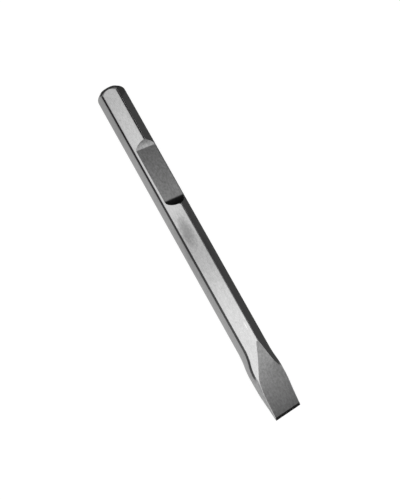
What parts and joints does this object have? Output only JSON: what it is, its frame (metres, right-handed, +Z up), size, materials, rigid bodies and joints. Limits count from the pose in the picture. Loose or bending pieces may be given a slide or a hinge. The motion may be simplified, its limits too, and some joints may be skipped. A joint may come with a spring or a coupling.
{
  "type": "hex shank flat chisel",
  "caption": "Forged steel flat chisel for a demolition hammer: hexagon shank with a corner notch for the retainer and a flared, hollow-faced blade with a ground edge.",
  "frame": {"origin": "on the surface that the chisel lies on, under the middle of its box", "axes": "+X along the bar from the struck end to the cutting edge, +Z up, square to the flats that lie down and face up, +Y toward the side that the notched corner leans to"},
  "size_m": [0.4, 0.0367, 0.03],
  "materials": {
    "steel": "satin forged and ground steel, neutral grey, unpainted"
  },
  "bodies": {
    "root": {"chisel": "steel"}
  },
  "joints": []
}
